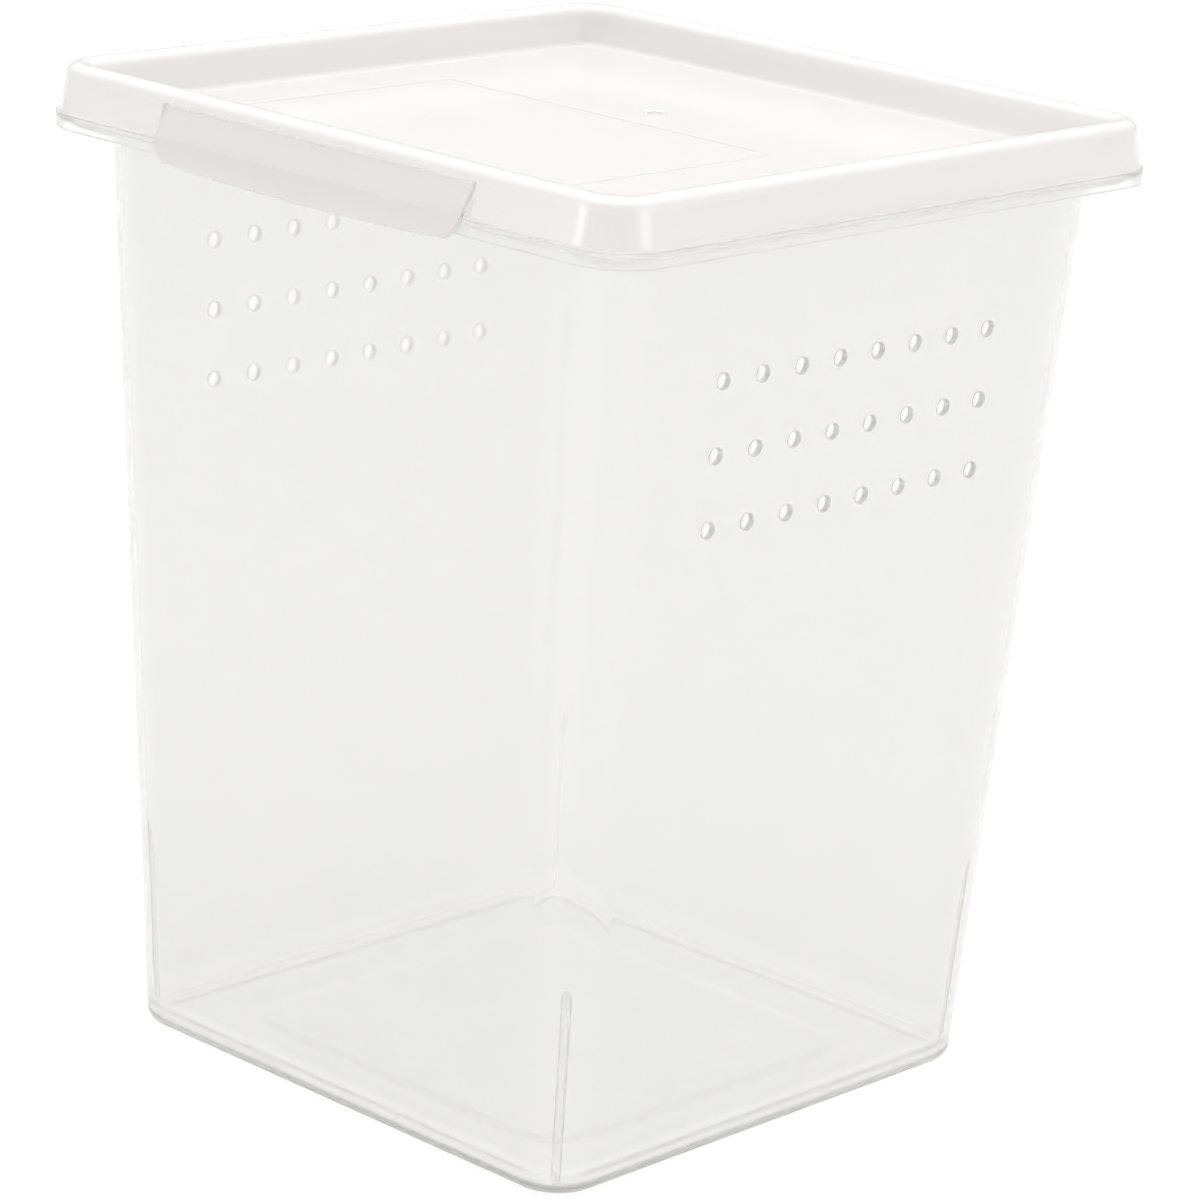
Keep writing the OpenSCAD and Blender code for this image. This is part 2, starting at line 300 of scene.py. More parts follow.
def ventPatches(rows, columnCount, columns, look, startIndex):
    # Each vent fills a square cell of the wall: circles shrink from the cell's border to the hole, round
    # over its edge, run through the wall and open again on the inside. The left wall is the right one
    # turned half a turn.
    place, kind, _ = columns
    radius, edge, wall, pitch = look["ventRadius"], look["ventEdge"], shared["wall"], look["ventPitch"]
    count, steps = look["ventColumns"], look["ventSteps"]
    bend = np.radians([0, 30, 60, 90])
    ringR = np.concatenate([look["ventRings"], radius + edge * (1 - np.sin(bend)), [radius]])
    ringD = np.concatenate([[0, 0], edge * (1 - np.cos(bend)), [wall / 2]])
    ringR, ringD = np.concatenate([ringR, ringR[-2::-1]]), np.concatenate([ringD, wall - ringD[-2::-1]])
    ringMask = (ringR < radius + edge + 0.01) * 1.0
    centreY = (np.arange(count) - (count - 1) / 2) * pitch
    cy, cz = [v.ravel() for v in np.meshgrid(centreY, np.array(look["ventHeights"]))]
    turn = np.radians(-45 + 90 / steps * np.arange(4 * steps))
    y = cy[:, None, None] + ringR[None, :, None] * np.cos(turn)
    z = cz[:, None, None] + ringR[None, :, None] * np.sin(turn)
    x = shared["baseHalf"][0] + shared["lean"] * z - ringD[None, :, None]
    right = np.stack([x, y, z], axis=-1)
    points = np.concatenate([right, right * np.array([-1, -1, 1])])
    # border of a cell, anticlockwise from outside, from its lower right corner
    run, full, none = np.arange(steps), np.full(steps, steps), np.zeros(steps, int)
    back = np.arange(steps, 0, -1)
    up = np.concatenate([run, full, back, none])
    along = np.concatenate([full, back, none, run])
    middle, index = len(rows) // 2, np.arange(len(rows))

    def rowAt(height, part):
        return np.flatnonzero((np.abs(rows[:, 3] - height) < 1e-6) & part)[0]

    def columnAt(across):
        return np.flatnonzero((kind == 0) & (np.abs(place - across) < 1e-6))[0]

    firstColumn = np.array([columnAt(v - pitch / 2) for v in cy])
    outerRow = np.array([rowAt(v - pitch / 2, index < middle) for v in cz])
    innerRow = np.array([rowAt(v - pitch / 2, index > middle) for v in cz])
    keep = np.ones((len(rows) - 1, columnCount), bool)
    cellRow, cellColumn = np.meshgrid(run, run, indexing="ij")
    outer, inner = [], []
    for turned in (0, columnCount // 2):
        column = (firstColumn[:, None] + along + turned) % columnCount
        outer.append((outerRow[:, None] + up) * columnCount + column)
        inner.append((innerRow[:, None] - up) * columnCount + column)
        columnOf = (firstColumn[:, None, None] + cellColumn + turned) % columnCount
        keep[outerRow[:, None, None] + cellRow, columnOf] = False
        keep[innerRow[:, None, None] - 1 - cellRow, columnOf] = False
    outer, inner = np.concatenate(outer), np.concatenate(inner)
    own = startIndex + np.arange(points[..., 0].size).reshape(points.shape[:3])
    chain = np.concatenate([outer[:, None], own, inner[:, None]], axis=1)
    onward = np.roll(chain, -1, axis=2)
    quads = np.stack([chain[:, :-1], onward[:, :-1], onward[:, 1:], chain[:, 1:]], axis=-1).reshape(-1, 4)
    mask = np.broadcast_to(ringMask[None, :, None], points.shape[:3]).ravel()
    return points.reshape(-1, 3), mask, quads, keep


def buildTub(look):
    # The tub's rings carried round its rounded square, with the ribs pushed in at the corners and the
    # vents let into the right and left walls, whose columns stand on the borders of the vents' cells.
    fineReach, last = look["ventColumns"] * look["ventPitch"] / 2, look["lastColumn"]
    fine = np.linspace(-fineReach, fineReach, look["ventColumns"] * look["ventSteps"] + 1)
    sideCells = np.concatenate([[-last], fine, [last]])
    coarse = np.linspace(-last, last, 19)
    halfCorner = np.array([0, 7.5, 15, 22.5, 29, 34, 37.5, 39.0, 39.9, 40.8, 42, 43.5])
    cornerAngles = np.concatenate([halfCorner, [45], 90 - halfCorner[::-1]])
    columns = sideColumns(sideCells, coarse, sideCells, coarse, cornerAngles)
    rows = tubRows(look)
    rowCount, columnCount = len(rows), len(columns[0])
    grid = ringPoints(rows, columns)
    push = addRibs(grid, rows, columns, look)
    # edge mask of the arcs, the rib flanks and the vents: pale edges that are partly whitening of the plastic
    # and partly painted highlight
    mask = np.broadcast_to(rows[:, 6:7], grid.shape[:2]).copy()
    mask = np.maximum(mask, (push > 0.05) * (push < look["ribReach"] - 0.05))
    # the inner skin of the walls is lighter and clearer than the outer one, and most so in the corners, where
    # the extra lightness is a painted highlight down each corner
    fromSide = 45 - np.abs(np.degrees(columns[2]) % 90 - 45)
    corner = smoothStep(fromSide / look["cornerHighlightBlend"]) * (columns[1] >= 4)
    innerRow = np.arange(rowCount) > rowCount // 2
    inner = innerRow[:, None] * (look["innerClear"] + (1 - look["innerClear"]) * corner)
    ventPoints, ventMask, ventQuads, keep = ventPatches(rows, columnCount, columns, look, grid[..., 0].size + 2)
    depth = shared["baseHalf"][0] + shared["lean"] * ventPoints[:, 2] - np.abs(ventPoints[:, 0])
    ventInner = look["innerClear"] * (depth > shared["wall"] / 2)
    poles = np.array([[0, 0, rows[0, 3]], [0, 0, rows[-1, 3]]])
    points = np.vstack([grid.reshape(-1, 3), poles, ventPoints])
    mask = np.concatenate([mask.ravel(), [0, 0], ventMask])
    inner = np.concatenate([inner.ravel(), [0, look["innerClear"]], ventInner])
    faces = [
        ringFaces(rowCount, columnCount, keep),
        ventQuads,
        poleFaces(rowCount, columnCount, rowCount * columnCount, rowCount * columnCount + 1),
    ]
    return makePiece("tub_shell", points, mask, inner, faces, "tub", "tub")


tubShell = buildTub(tubLook)

lidLook = {
    "panel": 234.1,  # top of the recessed panel
    "thickness": 1.6,
    "top": 244.9,
    "rimRound": 3.0,
    "rimCentres": (8.6, 9.0),  # where the rim's inner and outer rounding turn, out from its corner centres
    "recessFaces": (5.6, 7.2),  # the wall round the recess
    "recessFoot": 4.1,  # and where its foot turns
    "recessRadius": 1.5,
    "skirtIn": 10.4,  # inner face of the skirt at its top
    "skirtLean": 0.2,
    "skirtLow": 233.4,
    "skirtEdge": (12.1, 13.7),  # its two faces at the lower edge
    "edgeRadius": 0.4,
    "fieldHalf": (55.0, 36.5),  # sunk field, off the middle
    "fieldCentre": (-15.2, -19.2),
    "fieldRadius": 0.8,
    "fieldStep": 0.2,
    "fieldShade": 0.5,  # how dark the painted shade along its outline is
    "gate": (-12.2, 31.8),  # dimple where the plastic was let in
    "gateRadius": 3.0,
    "gateSlope": 1.4,
    "gateDepth": 0.5,
    # strength of the painted shade in the middle of the dish
    "gateShade": 0.8,
    "windowHalf": 52.2,  # opening in the skirt for the pull tab and its slits
    "windowTop": 241.7,
    "lastColumn": 59.0,  # the outermost columns on a straight side
}


def fieldRows(look, offsets, heights, mask):
    # Rounded rectangles that follow the outline of the sunk field at an offset.
    o = np.asarray(offsets, float)
    (fx, fy), (cx, cy) = look["fieldHalf"], look["fieldCentre"]
    radius = np.maximum(look["fieldRadius"] + o, 0.25)
    z, x, y, m = (np.broadcast_to(v, o.shape) for v in (heights, cx, cy, mask))
    return np.column_stack([fx + o, fy + o, radius, z, x, y, m])


def arcRows(centreU, centreZ, radius, first, last, count, mask):
    # An arc of the lid's section: the centre plus the radius times the cosine and sine of the angle.
    turn = np.radians(np.linspace(first, last, count))
    u, z = centreU + radius * np.cos(turn), centreZ + radius * np.sin(turn)
    return np.column_stack([u, z, np.full(count, mask)])


def lidRows(look):
    # Underside from the middle outwards, up behind the recess wall, through the hollow rim, down inside
    # the skirt, round its lower edge, up outside, over the rim, down into the recess and over the panel.
    t, panel, low, edge = look["thickness"], look["panel"], look["skirtLow"], look["edgeRadius"]
    outer = look["rimRound"]
    hollow, rc = outer - t, look["top"] - outer
    uIn, uOut = look["rimCentres"]
    recessIn, recessOut = look["recessFaces"]
    footU, footRadius = look["recessFoot"], look["recessRadius"]
    footZ = panel + footRadius
    edgeIn, edgeOut = look["skirtEdge"]
    windowZ = look["windowTop"]
    skirtZ = np.concatenate([[rc - 0.001, windowZ], np.linspace(windowZ - 0.8, low + 0.45, 8)])
    skirtU = look["skirtIn"] + (rc - skirtZ) * look["skirtLean"]
    skirtInner = np.column_stack([skirtU, skirtZ, np.zeros(len(skirtZ))])
    beforeSkirt = [
        np.array([[0.8, panel - t, 0.0], [3.2, panel - t, 0.0]]),
        arcRows(footU, footZ, footRadius + t, -90, 0, 7, 0.4),
        np.array([[recessOut, panel + 2.2, 0.0], [recessOut, rc - 0.6, 0.0]]),
        arcRows(uIn, rc, hollow, 180, 90, 6, 0.4),
        arcRows(uOut, rc, hollow, 90, 0, 6, 0.4),
    ]
    skirtFoot = [
        arcRows(edgeIn + edge, low + edge, edge, 190, 270, 4, 1.0),
        arcRows(edgeOut - edge, low + edge, edge, 270, 370, 4, 1.0),
    ]
    afterSkirt = [
        skirtInner[::-1] + np.array([t, 0, 0]),
        arcRows(uOut, rc, outer, 0, 90, 10, 0.8)[1:],
        arcRows(uIn, rc, outer, 90, 180, 10, 0.8),
        np.array([[recessIn, rc - 0.6, 0.0], [recessIn, panel + 2.1, 0.0]]),
        arcRows(footU, footZ, footRadius, 0, -90, 7, 0.6),
        np.array([[3.5, panel, 0.0]]),
    ]
    body = rimRows(np.vstack(beforeSkirt + [skirtInner] + skirtFoot + afterSkirt))
    under = plateRows([5, 22, 45, 66, 80], [2, 6, 9, 10, 4], panel - t)
    # the panel between the recess and the sunk field: every measure of the ring slides from one to the other
    border = fieldRows(look, [0.9], panel, 0)[0]
    slide = np.concatenate([[0.03, 0.2, 0.45, 0.62], np.linspace(0.70, 0.86, 25), [0.94]])[:, None]
    between = body[-1] * (1 - slide) + border * slide
    between[:, 6] = 0
    step = look["fieldStep"]
    # the mask below nought along the field's step paints a shade on its outline
    sunk = fieldRows(
        look,
        [0.9, 0.45, 0.2, 0.0, -0.2, -0.45, -0.9, -1.6],
        panel - step * np.array([0, 0.15, 0.35, 0.5, 0.65, 0.85, 1, 1]),
        [0, -0.5, -0.9, -1, -0.9, -0.5, 0, 0])
    shrink = np.array([0.8, 0.55, 0.3, 0.1])
    middle = np.tile(sunk[-1], (len(shrink), 1))
    middle[:, :2] = shrink[:, None] * look["fieldHalf"]
    middle[:, 2] = look["fieldRadius"]
    innerRow = len(under) + sum(len(part) for part in beforeSkirt) + 1
    outerRow = innerRow + 2 * (len(skirtZ) - 1) + sum(len(part) for part in skirtFoot) - 1
    return np.vstack([under, body, between, sunk, middle]), innerRow, outerRow, len(under) + len(body)


def buildLid(look):
    # The lid's rings carried round its rounded square, with an opening in the front skirt and a dish in
    # the panel, where the columns stand closer together.
    half, last = look["windowHalf"], look["lastColumn"]
    frontX = np.concatenate([[-last], np.linspace(-half, half, 33), [last]])
    closeX = np.linspace(-4.6, 11.0, 42)
    backX = np.concatenate([[-last, -48, -36, -24, -16, -10, -6.5], closeX, [14, 19, 26, 36, 48, last]])
    coarse = np.linspace(-last, last, 19)
    columns = sideColumns(coarse, backX, coarse, frontX, np.linspace(0, 90, 15))
    rows, innerRow, outerRow, panelStart = lidRows(look)
    rowCount, columnCount = len(rows), len(columns[0])
    grid = ringPoints(rows, columns)
    # gate: a shallow dish in the top of the panel only, a soft step of the distance from its middle
    east, north = grid[..., 0] - look["gate"][0], grid[..., 1] - look["gate"][1]
    dip = look["gateDepth"] * smoothStep((look["gateRadius"] - np.hypot(east, north)) / look["gateSlope"])
    dip[:panelStart] = 0
    grid[..., 2] -= dip
    # the sunk field's outline gets a faint painted shade, and the dish a painted shade inside a painted
    # highlight on its edge
    mask = np.broadcast_to(rows[:, 6:7], grid.shape[:2]).copy()
    mask = np.where(mask < 0, mask * look["fieldShade"], mask)
    mask = np.where(dip > 0.35 * look["gateDepth"], -look["gateShade"], np.where(dip > 0.02, 1.0, mask))
    place, kind, _ = columns
    front = np.flatnonzero((kind == 3) & (np.abs(place) < half + 1e-6))
    keep = np.ones((rowCount - 1, columnCount), bool)
    keep[np.ix_(np.arange(innerRow, outerRow), front[:-1])] = False
    # the opening's top strip joins the inner and the outer skirt; its ends pair their rows down to the edge
    inStart, outStart = innerRow * columnCount, outerRow * columnCount
    here, beside = front[:-1], front[1:]
    strip = np.stack([outStart + here, inStart + here, inStart + beside, outStart + beside], axis=-1)
    steps = np.arange((outerRow - innerRow) // 2)
    a, b = innerRow + steps, outerRow - steps
    endLeft = np.stack([a, b, b - 1, a + 1], axis=-1) * columnCount + front[0]
    endRight = np.stack([a, a + 1, b - 1, b], axis=-1) * columnCount + front[-1]
    poles = np.array([[0, 0, rows[0, 3]], [*look["fieldCentre"], rows[-1, 3]]])
    points = np.vstack([grid.reshape(-1, 3), poles])
    mask = np.concatenate([mask.ravel(), [0, 0]])
    faces = [
        ringFaces(rowCount, columnCount, keep),
        strip, endLeft, endRight,
        poleFaces(rowCount, columnCount, rowCount * columnCount, rowCount * columnCount + 1),
    ]
    return makePiece("lid_shell", points, mask, np.zeros(len(points)), faces, "lid", "lid")


lidShell = buildLid(lidLook)

tabLook = {
    "half": 51.0,
    "thickness": 1.6,
    "hinge": (94.061, 240.6),  # distance out from the middle, and height
    "knee": (98.211, 234.0),
    "kneeRadius": 4.0,
    "lean": 0.75,
    "low": 227.3,
    "sag": 0.9,
    "cornerRadius": 6.0,
    "bevel": 0.4,  # rounding of the two ends
    "edgeHalf": 0.55,  # height of the lower edge's half round
    "web": 0.5,  # thickness of the thin line that bends
    "webTop": 241.95,
}


def buildTab(look):
    # A section across the tab is a middle line, hinge to knee to lower edge, with half the thickness on
    # either side; the knee is a rounded corner. Along the tab the lower edge follows a shallow curve that
    # rises with the square of the distance from the middle, and turns up on a circle at each corner.
    half, r, edge, tip = look["half"], look["cornerRadius"], look["bevel"], look["edgeHalf"]
    straight = half - r
    bevel = np.radians([0, 30, 60, 90])
    corner = straight + (r - edge) * np.sin(np.radians(np.linspace(6, 84, 14)))
    x = np.concatenate([np.linspace(0, straight, 24), corner, half - edge + edge * np.sin(bevel)])
    slim = np.concatenate([np.zeros(len(x) - len(bevel)), edge * (1 - np.cos(bevel))])
    x, slim = np.concatenate([-x[:0:-1], x]), np.concatenate([slim[:0:-1], slim])
    into = np.clip(np.abs(x) - straight, 0, r - 0.02)
    curve = look["sag"] * np.minimum(np.abs(x) / straight, 1) ** 2
    lower = look["low"] + curve + r - np.sqrt(r * r - into * into)
    lower = np.minimum(lower, look["knee"][1] - 0.35) + slim
    hinge, knee = np.array(look["hinge"]), np.array(look["knee"])
    foot = np.array([knee[0] + look["lean"], look["low"]])
    line = roundedLine([hinge, knee, foot], [look["kneeRadius"]], steps=10, guard=1.0)[:, :2]
    upper = line[line[:, 1] >= knee[1] - 0.2, 1]
    rest = upper[-1] + (lower[:, None] + tip - upper[-1]) * np.linspace(0, 1, 10)[1:]
    z = np.concatenate([np.broadcast_to(upper, (len(x), len(upper))), rest], axis=1)
    order = np.argsort(line[:, 1])
    v = np.interp(z, line[order, 1], line[order, 0])
    thick = look["thickness"] / 2 - slim[:, None]
    # lower edge: a half round, slightly flattened
    turn = np.radians(np.linspace(180, 360, 9))[1:-1]
    edgeV = v[:, -1:] + thick * np.cos(turn)
    edgeZ = z[:, -1:] + tip * np.sin(turn)
    # top: shoulders of the tab, then the thin web that runs up into the lid
    web, rise = look["web"] / 2, look["webTop"] - hinge[1]
    offsets = np.array([0.72, 0.45, web, web, 0.15, -0.15, -web, -web, -0.45, -0.72])
    topV = hinge[0] + offsets * np.where(np.abs(offsets) > 0.3, thick / (look["thickness"] / 2), 1)
    topZ = hinge[1] + np.array([0.45, 0.68, 0.78, rise - 0.1, rise, rise, rise - 0.1, 0.78, 0.68, 0.45])
    ringV = np.concatenate([v - thick, edgeV, (v + thick)[:, ::-1], topV], axis=1)
    ringZ = np.concatenate([z, edgeZ, z[:, ::-1], np.broadcast_to(topZ, topV.shape)], axis=1)
    ringX = np.broadcast_to(x[:, None], ringV.shape)
    points = np.stack([ringX, -ringV, ringZ], axis=-1).reshape(-1, 3)
    across, around = ringV.shape
    i, j = np.meshgrid(np.arange(across - 1), np.arange(around), indexing="ij")
    k, near, far = (j + 1) % around, i * around, (i + 1) * around
    quads = np.stack([near + j, far + j, far + k, near + k], axis=-1).reshape(-1, 4)
    ends = np.stack([np.arange(around), (across - 1) * around + np.arange(around)[::-1]])
    # the lower edge, the top and both ends are pale, partly whitening of the plastic and partly painted
    # highlight
    mask = np.zeros(ringV.shape)
    mask[:, z.shape[1]:z.shape[1] + len(turn)] = 1
    mask[:, -len(topZ):] = 1
    mask[[0, 1, 2, -3, -2, -1]] = 1
    mask, faces = mask.ravel(), [quads, ends]
    return makePiece("pull_tab", points, mask, np.zeros(len(points)), faces, "lid_tab", "lid_tab")


pullTab = buildTab(tabLook)


finishLook = {
    "cloudScale": 9,
    "flowScale": 38,
    "dimpleScale": 900,
    "swellScale": 30,
    "dimpleHeight": 0.03,  # against 1 for the slow swell of the surface
    "hairs": (  # turn and stretch of each set of hairline scratches
        ((0.3, 0.9, 0.4), (900, 14, 14)),
        ((1.2, -0.4, 0.8), (14, 800, 20)),
        ((-0.7, 0.5, 1.5), (18, 14, 850)),
    ),
    "speckScale": 160,
    "floorEnds": (0.006, 0.010),  # metres above the table, as the shader measures
    "flangeBegins": (0.2286, 0.2298),
    # colour of the painted light on the floor and the flange
    "lifted": (1, 1, 0.99, 1),
    "refraction": 1.49,
    "bumpDepth": 0.0002,  # metres
    "swallowed": (0.5, 0.49, 0.46, 1),  # the colour that goes through the thick of it best
}


def mouldedGroup(look):
    # Shared finish of moulded polypropylene, from a point on the piece, its edge mask and its inner mask:
    # cloudy colour and gloss, clearer inner skin with a painted highlight in the corners, fine dimpling of the
    # mould, hairline scratches, dust specks, pale edges that are partly painted highlight, painted shade
    # along the field's step and in the gate's dish, and painted light on the floor and the flange.
    group = bpy.data.node_groups.new("mouldedFinish", "ShaderNodeTree")
    face = group.interface
    for name, kind, value in [
        ("Point", "NodeSocketVector", (0, 0, 0)),
        ("Edge", "NodeSocketFloat", 0.0),
        ("Inner", "NodeSocketFloat", 0.0),
        ("Clear", "NodeSocketColor", (0.9, 0.9, 0.9, 1)),
        ("Cloudy", "NodeSocketColor", (0.85, 0.85, 0.85, 1)),
        ("Pale Edge", "NodeSocketColor", (0.95, 0.95, 0.95, 1)),
        ("Painted Shade", "NodeSocketColor", (0.6, 0.6, 0.6, 1)),
        ("Inner Skin", "NodeSocketColor", (1, 1, 1, 1)),
        ("Lift", "NodeSocketFloat", 0.0),
        ("Edge Amount", "NodeSocketFloat", 0.5),
        ("Gloss", "NodeSocketFloat", 0.1),
        ("Haze", "NodeSocketFloat", 0.2),
        ("Frost", "NodeSocketFloat", 0.0),
        ("Dull Edge", "NodeSocketFloat", 0.0),
        ("Scratches", "NodeSocketFloat", 0.5),
    ]:
        face.new_socket(name=name, in_out="INPUT", socket_type=kind).default_value = value
    for name, kind in [
        ("Color", "NodeSocketColor"), ("Roughness", "NodeSocketFloat"), ("Height", "NodeSocketFloat"),
    ]:
        face.new_socket(name=name, in_out="OUTPUT", socket_type=kind)
    nodes, links = group.nodes, group.links
    start, end = nodes.new("NodeGroupInput"), nodes.new("NodeGroupOutput")

    def noise(scale, detail, vector, rough=0.5):
        node = nodes.new("ShaderNodeTexNoise")
        node.inputs["Scale"].default_value, node.inputs["Detail"].default_value = scale, detail
        node.inputs["Roughness"].default_value = rough
        links.new(vector, node.inputs["Vector"])
        return node.outputs["Fac"]

    def spread(value, low, high, outLow, outHigh):
        node = nodes.new("ShaderNodeMapRange")
        node.interpolation_type = "SMOOTHSTEP"
        for socket, v in zip(node.inputs[1:5], (low, high, outLow, outHigh)):
            socket.default_value = v
        links.new(value, node.inputs[0])
        return node.outputs[0]

    def maths(kind, a, b):
        node = nodes.new("ShaderNodeMath")
        node.operation = kind
        for socket, v in zip(node.inputs, (a, b)):
            if isinstance(v, (int, float)):
                socket.default_value = v
            else:
                links.new(v, socket)
        return node.outputs[0]

    def mixed(factor, a, b):
        node = nodes.new("ShaderNodeMix")
        node.data_type = "RGBA"
        links.new(factor, node.inputs["Factor"])
        for socket, v in zip(node.inputs[6:8], (a, b)):
            if isinstance(v, tuple):
                socket.default_value = v
            else:
                links.new(v, socket)
        return node.outputs[2]

    given = start.outputs
    point, edgeIn, scratchIn = given["Point"], given["Edge"], given["Scratches"]
    cloud = spread(noise(look["cloudScale"], 3, point), 0.3, 0.7, 0, 1)
    flow = noise(look["flowScale"], 2, point, 0.6)
    dimple, swell = noise(look["dimpleScale"], 0, point), noise(look["swellScale"], 1, point)
    hairs = []
    for turnBy, stretch in look["hairs"]:
        mapping = nodes.new("ShaderNodeMapping")
        mapping.inputs["Rotation"].default_value, mapping.inputs["Scale"].default_value = turnBy, stretch
        links.new(point, mapping.inputs["Vector"])
        hairs.append(spread(noise(1, 1, mapping.outputs[0]), 0.70, 0.76, 0, 1))
    scratch = maths("MULTIPLY", maths("MAXIMUM", maths("MAXIMUM", hairs[0], hairs[1]), hairs[2]), scratchIn)
    cells = nodes.new("ShaderNodeTexVoronoi")
    cells.inputs["Scale"].default_value = look["speckScale"]
    links.new(point, cells.inputs["Vector"])
    speck = spread(cells.outputs["Distance"], 0.04, 0.08, 1, 0)
    # pale edges, partly whitening of the moulded plastic and partly painted highlight along the rounded edges
    edge = maths("MULTIPLY", maths("MULTIPLY", edgeIn, given["Edge Amount"]), spread(flow, 0.3, 0.6, 0.6, 1))
    cloudMix = maths("ADD", maths("MULTIPLY", cloud, 0.7), maths("MULTIPLY", speck, 0.3))
    # painted light makes the floor and the flange lighter and clearer than the walls, and a mask below nought
    # marks painted shade along the field's step and in the gate's dish
    split = nodes.new("ShaderNodeSeparateXYZ")
    links.new(point, split.inputs[0])
    height = split.outputs["Z"]
    ends = maths("ADD", spread(height, *look["floorEnds"], 1, 0), spread(height, *look["flangeBegins"], 0, 1))
    body = mixed(given["Inner"], mixed(cloudMix, given["Clear"], given["Cloudy"]), given["Inner Skin"])
    lifted = mixed(maths("MULTIPLY", ends, given["Lift"]), body, look["lifted"])
    paintedShade = maths("MAXIMUM", maths("MULTIPLY", edgeIn, -1.0), 0.0)
    colour = mixed(paintedShade, mixed(edge, lifted, given["Pale Edge"]), given["Painted Shade"])
    marks = maths("MAXIMUM", maths("MULTIPLY", scratch, 0.5), maths("MULTIPLY", speck, 0.4))
    hazeBy = maths("ADD", maths("MULTIPLY", spread(flow, 0.3, 0.75, 0, 1), 0.6), marks)
    # the mould leaves the base, the flange and the sharpest edges a little duller
    dullEdge = maths("MULTIPLY", spread(edgeIn, 0.7, 1.0, 0, 1), given["Dull Edge"])
    dull = maths("ADD", maths("MULTIPLY", ends, given["Frost"]), dullEdge)
    rough = maths("ADD", maths("ADD", given["Gloss"], dull), maths("MULTIPLY", hazeBy, given["Haze"]))
    links.new(colour, end.inputs["Color"])
    links.new(rough, end.inputs["Roughness"])
    links.new(maths("ADD", maths("MULTIPLY", dimple, look["dimpleHeight"]), swell), end.inputs["Height"])
    return group


finish = mouldedGroup(finishLook)

plastics = {
    "tub_shell": {
        "name": "clearPolypropylene",
        "clear": (0.886, 0.883, 0.870),
        "cloudy": (0.878, 0.877, 0.863),
        "innerSkin": (0.998, 0.995, 0.983),
        "pale": (0.99, 0.985, 0.975),
        "paintedShade": (0.7, 0.7, 0.69),
        "edgeAmount": 0.8,
        "lift": 0.8,  # how far the floor and the flange are painted lighter and clearer, as painted light
        "gloss": 0.03,  # roughness of the bare surface
        "haze": 0.03,
        "frost": 0.18,  # added roughness of the base and the flange
        "dullEdge": 0.4,
        "scratches": 0.15,
        "see": 0.82,  # how see-through it is
        "bump": 0.01,
        "lampsThrough": 0.98,  # share of the light that goes straight on to other surfaces
        "density": 34.0,  # of the absorption inside it
    },
    "lid_shell": {
        "name": "milkyPolypropylene",
        "clear": (0.968, 0.948, 0.945),
        "cloudy": (0.960, 0.941, 0.935),
        "innerSkin": (0.965, 0.945, 0.94),
        "pale": (0.97, 0.95, 0.945),
        "paintedShade": (0.55, 0.54, 0.54),
        "edgeAmount": 0.5,
        "lift": 0.0,
        "gloss": 0.12,
        "haze": 0.06,
        "frost": 0.0,
        "dullEdge": 0.0,
        "scratches": 0.12,
        "see": 0.56,
        "bump": 0.04,
        "lampsThrough": 0.95,
        "density": 36.0,
    },
    "pull_tab": {
        "name": "greyerPolypropylene",
        "clear": (0.835, 0.815, 0.80),
        "cloudy": (0.825, 0.805, 0.79),
        "innerSkin": (0.835, 0.815, 0.80),
        "pale": (0.88, 0.87, 0.86),
        "paintedShade": (0.6, 0.6, 0.6),
        "edgeAmount": 0.6,
        "lift": 0.0,
        "gloss": 0.18,
        "haze": 0.10,
        "frost": 0.0,
        "dullEdge": 0.1,
        "scratches": 0.15,
        "see": 0.48,
        "bump": 0.04,
        "lampsThrough": 0.9,
        "density": 20.0,
    },
}


